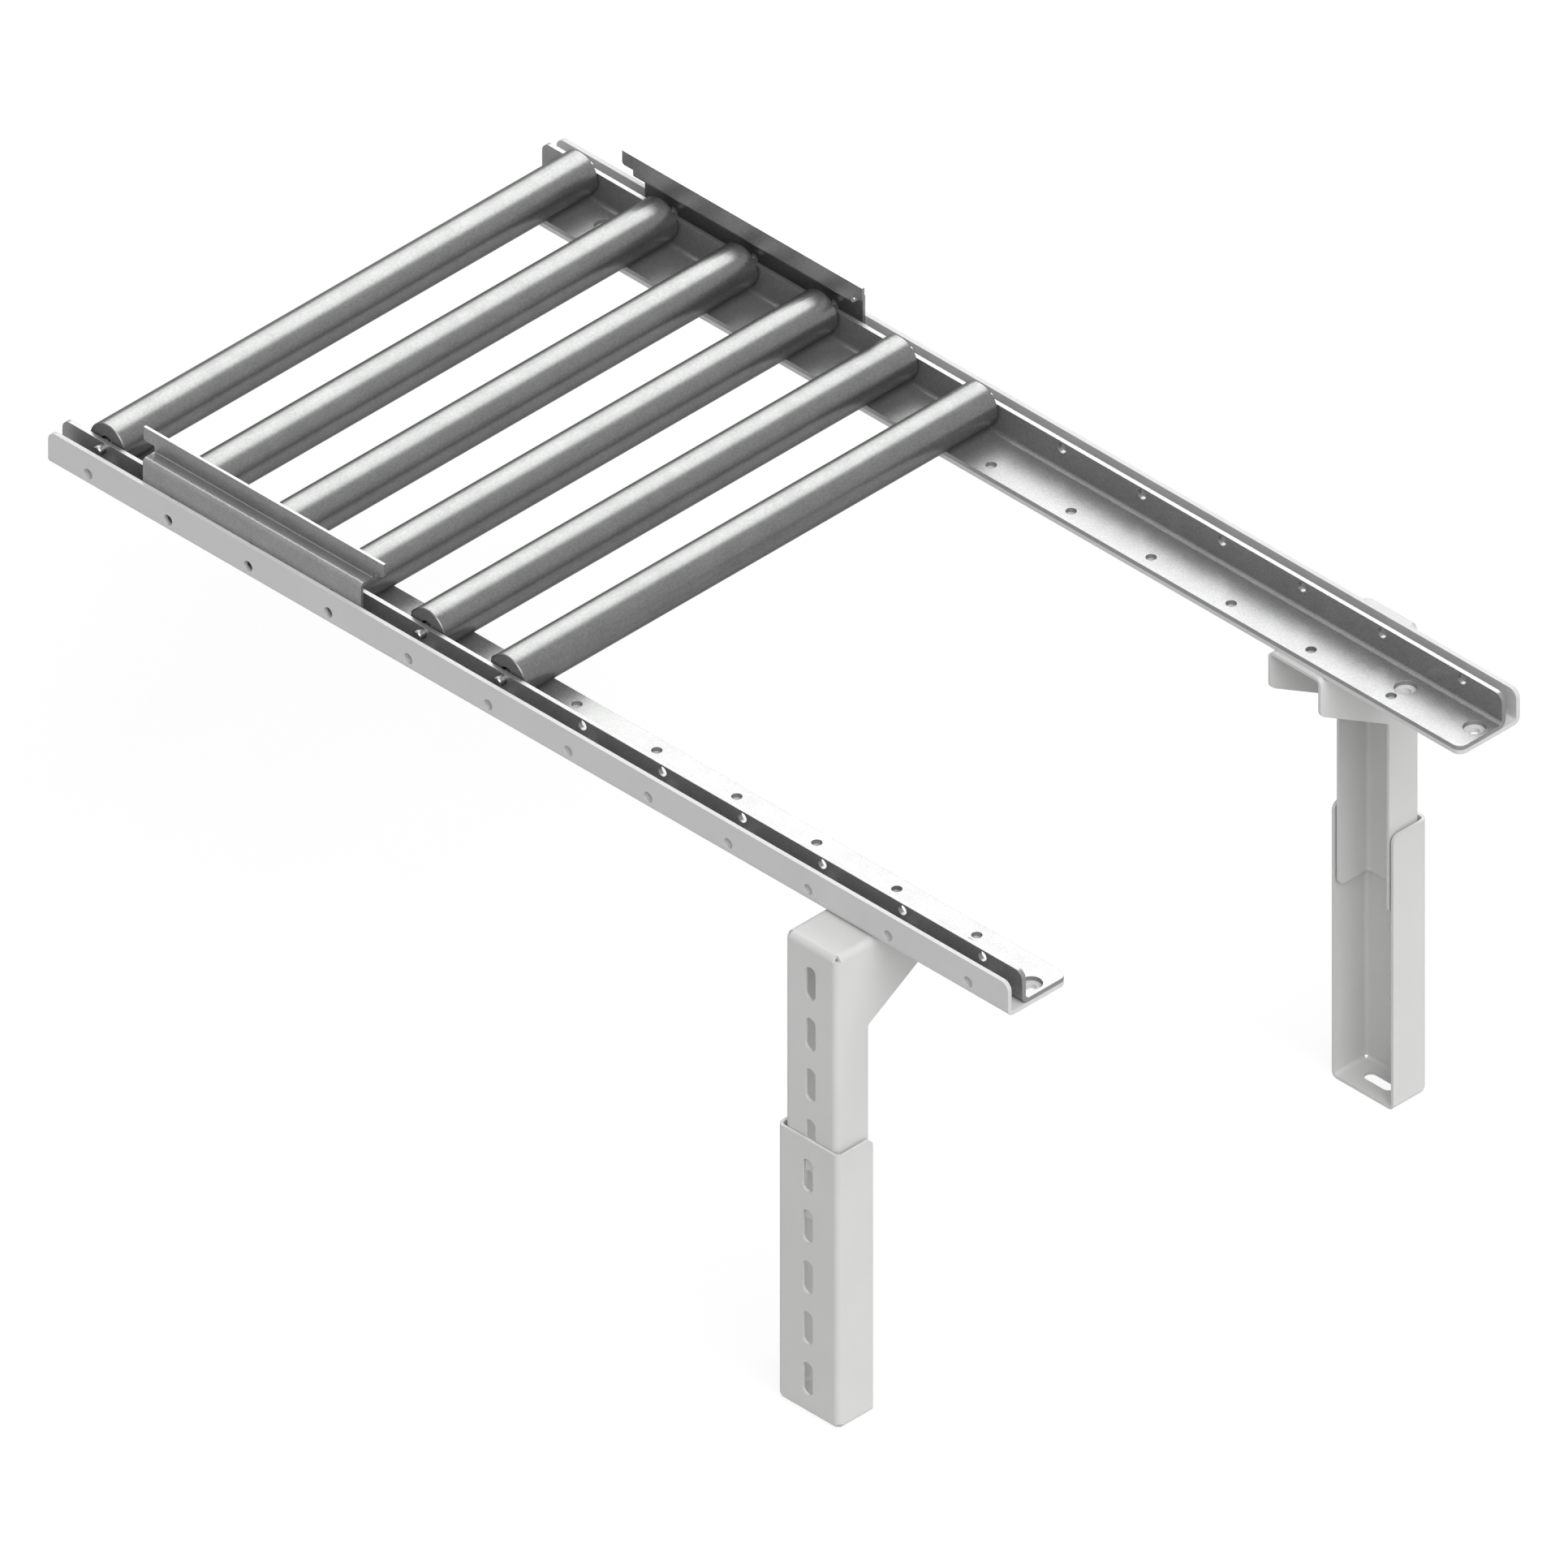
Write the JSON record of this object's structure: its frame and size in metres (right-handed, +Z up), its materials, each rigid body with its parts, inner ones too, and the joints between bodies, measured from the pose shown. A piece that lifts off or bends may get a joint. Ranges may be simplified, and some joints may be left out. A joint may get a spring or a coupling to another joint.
{
  "type": "flow rack roller track",
  "caption": "Height-adjustable roller track for a flow rack: two double-angle rails carry idle rollers and raised side guides on slotted telescopic legs.",
  "frame": {"origin": "middle of the track in plan, at the underside of the foot plates", "axes": "+X along the rails towards the legs, +Y across the track along the roller axes, +Z up"},
  "size_m": [1.2, 0.737, 0.5862],
  "materials": {
    "painted_rail": "satin light grey powder coat",
    "painted_leg": "satin light grey powder coat",
    "steel_rail": "speckled zinc plate",
    "steel_guide": "speckled zinc plate",
    "roller_steel": "bright zinc-plated tube",
    "axle_steel": "drawn bright bar",
    "bearing_steel": "ground",
    "housing_plastic": "moulded dark grey"
  },
  "bodies": {
    "legs": {"bracket_lower_front": "painted_leg", "bracket_lower_rear": "painted_leg"},
    "deck": {"rail_outer_front": "painted_rail", "rail_outer_rear": "painted_rail", "rail_inner_front": "steel_rail", "rail_inner_rear": "steel_rail", "bracket_upper_front": "painted_leg", "bracket_upper_rear": "painted_leg", "roller_1_axle": "axle_steel", "roller_1_inner_rings": "bearing_steel", "roller_2_axle": "axle_steel", "roller_2_inner_rings": "bearing_steel", "roller_3_axle": "axle_steel", "roller_3_inner_rings": "bearing_steel", "roller_4_axle": "axle_steel", "roller_4_inner_rings": "bearing_steel", "roller_5_axle": "axle_steel", "roller_5_inner_rings": "bearing_steel", "roller_6_axle": "axle_steel", "roller_6_inner_rings": "bearing_steel"},
    "guide_front": {"side_guide_front": "steel_guide"},
    "guide_rear": {"side_guide_rear": "steel_guide"},
    "roller_1": {"roller_1_tube": "roller_steel", "roller_1_housings": "housing_plastic", "roller_1_outer_rings": "bearing_steel"},
    "roller_2": {"roller_2_tube": "roller_steel", "roller_2_housings": "housing_plastic", "roller_2_outer_rings": "bearing_steel"},
    "roller_3": {"roller_3_tube": "roller_steel", "roller_3_housings": "housing_plastic", "roller_3_outer_rings": "bearing_steel"},
    "roller_4": {"roller_4_tube": "roller_steel", "roller_4_housings": "housing_plastic", "roller_4_outer_rings": "bearing_steel"},
    "roller_5": {"roller_5_tube": "roller_steel", "roller_5_housings": "housing_plastic", "roller_5_outer_rings": "bearing_steel"},
    "roller_6": {"roller_6_tube": "roller_steel", "roller_6_housings": "housing_plastic", "roller_6_outer_rings": "bearing_steel"}
  },
  "joints": [
    {"name": "height_adjust", "type": "slide", "parent": "legs", "child": "deck", "axis": [0, 0, 1], "range_m": [-0.2, 0.022]},
    {"name": "guide_front_lift", "type": "slide", "parent": "deck", "child": "guide_front", "axis": [0, 0, 1], "range_m": [-0.0174, 0]},
    {"name": "guide_rear_lift", "type": "slide", "parent": "deck", "child": "guide_rear", "axis": [0, 0, 1], "range_m": [-0.0174, 0]},
    {"name": "roller_1_spin", "type": "hinge", "parent": "deck", "child": "roller_1", "pos_m": [-0.55, 0, 0.5385], "axis": [0, 1, 0], "continuous": true},
    {"name": "roller_2_spin", "type": "hinge", "parent": "deck", "child": "roller_2", "pos_m": [-0.45, 0, 0.5385], "axis": [0, 1, 0], "continuous": true},
    {"name": "roller_3_spin", "type": "hinge", "parent": "deck", "child": "roller_3", "pos_m": [-0.35, 0, 0.5385], "axis": [0, 1, 0], "continuous": true},
    {"name": "roller_4_spin", "type": "hinge", "parent": "deck", "child": "roller_4", "pos_m": [-0.25, 0, 0.5385], "axis": [0, 1, 0], "continuous": true},
    {"name": "roller_5_spin", "type": "hinge", "parent": "deck", "child": "roller_5", "pos_m": [-0.15, 0, 0.5385], "axis": [0, 1, 0], "continuous": true},
    {"name": "roller_6_spin", "type": "hinge", "parent": "deck", "child": "roller_6", "pos_m": [-0.05, 0, 0.5385], "axis": [0, 1, 0], "continuous": true}
  ]
}
